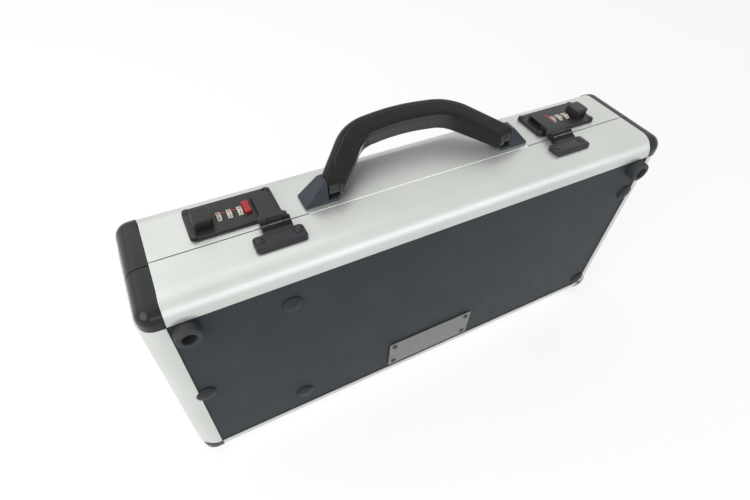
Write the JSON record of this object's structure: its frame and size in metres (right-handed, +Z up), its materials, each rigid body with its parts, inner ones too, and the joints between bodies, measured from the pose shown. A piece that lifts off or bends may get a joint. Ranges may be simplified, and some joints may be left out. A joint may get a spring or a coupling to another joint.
{
  "type": "knife case",
  "caption": "Hard chef knife case with aluminium frame, rounded plastic corners, textured panels, two number-dial locks with hinged hasps, bowed top handle and a foam insert",
  "frame": {"origin": "under the middle of the whole part, on the surface that its stands rest on", "axes": "+X along the case, +Z up towards the handle, -Y the face of the lid with the plate and tube feet, +Y the back of the base"},
  "size_m": [0.46, 0.1112, 0.2555],
  "materials": {
    "frame": "satin anodised extrusion",
    "corner": "glossy black moulding",
    "panel": "dark grey sheet with a fine diagonal weave emboss",
    "foam": "charcoal closed-cell foam",
    "tube_foot": "moulded dark grey rubber",
    "stud": "moulded dark grey rubber",
    "badge": "bare warm grey satin plate with dark rivets",
    "hinge": "black coated steel",
    "steel": "plain steel",
    "grip": "satin brown-black moulding",
    "bracket": "satin blue-black moulding",
    "lock": "satin black casting",
    "thumb": "black moulding",
    "lever": "red moulding",
    "dial": "cream moulding with printed numbers",
    "hasp": "satin black pressing"
  },
  "bodies": {
    "base": {"base_frame_top": "frame", "base_frame_bottom": "frame", "base_frame_left": "frame", "base_frame_right": "frame", "base_corner_top_left": "corner", "base_corner_top_right": "corner", "base_corner_bottom_left": "corner", "base_corner_bottom_right": "corner", "base_panel": "panel", "base_foam": "foam", "hinge_left_base_leaf": "hinge", "hinge_left_pin": "steel", "hinge_right_base_leaf": "hinge", "hinge_right_pin": "steel", "handle_bracket_left": "bracket", "handle_bracket_right": "bracket", "lock_left_plate": "lock", "lock_left_dial_axle": "steel", "lock_left_detent_spring": "steel", "lock_right_plate": "lock", "lock_right_dial_axle": "steel", "lock_right_detent_spring": "steel"},
    "lid": {"lid_frame_top": "frame", "lid_frame_bottom": "frame", "lid_frame_left": "frame", "lid_frame_right": "frame", "lid_corner_top_left": "corner", "lid_corner_top_right": "corner", "lid_corner_bottom_left": "corner", "lid_corner_bottom_right": "corner", "lid_panel": "panel", "lid_foam": "foam", "tube_foot_left": "tube_foot", "tube_foot_right": "tube_foot", "stud_left_edge": "stud", "stud_left_low": "stud", "stud_left_high": "stud", "stud_right_high": "stud", "stud_right_low": "stud", "badge_plate": "badge", "hinge_left_lid_leaf": "hinge", "hinge_right_lid_leaf": "hinge", "keeper_left": "hasp", "keeper_right": "hasp", "hasp_pin_left": "steel", "hasp_pin_right": "steel"},
    "handle": {"handle_grip": "grip"},
    "left_hasp": {"hasp_left": "hasp"},
    "right_hasp": {"hasp_right": "hasp"},
    "left_thumb_slide": {"lock_left_thumb_slide": "thumb"},
    "right_thumb_slide": {"lock_right_thumb_slide": "thumb"},
    "left_change_lever": {"lock_left_change_lever": "lever"},
    "right_change_lever": {"lock_right_change_lever": "lever"},
    "left_dial_1": {"lock_left_dial_1": "dial"},
    "left_dial_2": {"lock_left_dial_2": "dial"},
    "left_dial_3": {"lock_left_dial_3": "dial"},
    "right_dial_1": {"lock_right_dial_1": "dial"},
    "right_dial_2": {"lock_right_dial_2": "dial"},
    "right_dial_3": {"lock_right_dial_3": "dial"}
  },
  "joints": [
    {"name": "lid_hinge", "type": "hinge", "parent": "base", "child": "lid", "pos_m": [0, -0.00692, 0.00315], "axis": [1, 0, 0], "range_deg": [0, 100]},
    {"name": "handle_pivot", "type": "hinge", "parent": "base", "child": "handle", "pos_m": [0, 0.00488, 0.2344], "axis": [1, 0, 0], "range_deg": [0, 150]},
    {"name": "left_hasp_hinge", "type": "hinge", "parent": "lid", "child": "left_hasp", "pos_m": [-0.1262, -0.01012, 0.2289], "axis": [1, 0, 0], "range_deg": [0, 110]},
    {"name": "right_hasp_hinge", "type": "hinge", "parent": "lid", "child": "right_hasp", "pos_m": [0.13179, -0.01012, 0.2289], "axis": [1, 0, 0], "range_deg": [0, 110]},
    {"name": "left_thumb_slide", "type": "slide", "parent": "base", "child": "left_thumb_slide", "axis": [-1, 0, 0], "range_m": [0, 0.0035], "stiffness_N_per_m": 300, "springref_m": -0.002},
    {"name": "right_thumb_slide", "type": "slide", "parent": "base", "child": "right_thumb_slide", "axis": [1, 0, 0], "range_m": [0, 0.0035], "stiffness_N_per_m": 300, "springref_m": -0.002},
    {"name": "left_change_lever", "type": "slide", "parent": "base", "child": "left_change_lever", "axis": [0, -1, 0], "range_m": [0, 0.002]},
    {"name": "right_change_lever", "type": "slide", "parent": "base", "child": "right_change_lever", "axis": [0, -1, 0], "range_m": [0, 0.002]},
    {"name": "left_dial_1_turn", "type": "hinge", "parent": "base", "child": "left_dial_1", "pos_m": [-0.15909, 0.01348, 0.22215], "axis": [1, 0, 0], "continuous": true},
    {"name": "left_dial_2_turn", "type": "hinge", "parent": "base", "child": "left_dial_2", "pos_m": [-0.1516, 0.01348, 0.22215], "axis": [1, 0, 0], "continuous": true},
    {"name": "left_dial_3_turn", "type": "hinge", "parent": "base", "child": "left_dial_3", "pos_m": [-0.1441, 0.01348, 0.22215], "axis": [1, 0, 0], "continuous": true},
    {"name": "right_dial_1_turn", "type": "hinge", "parent": "base", "child": "right_dial_1", "pos_m": [0.15909, 0.01348, 0.22215], "axis": [1, 0, 0], "continuous": true},
    {"name": "right_dial_2_turn", "type": "hinge", "parent": "base", "child": "right_dial_2", "pos_m": [0.1516, 0.01348, 0.22215], "axis": [1, 0, 0], "continuous": true},
    {"name": "right_dial_3_turn", "type": "hinge", "parent": "base", "child": "right_dial_3", "pos_m": [0.1441, 0.01348, 0.22215], "axis": [1, 0, 0], "continuous": true}
  ]
}
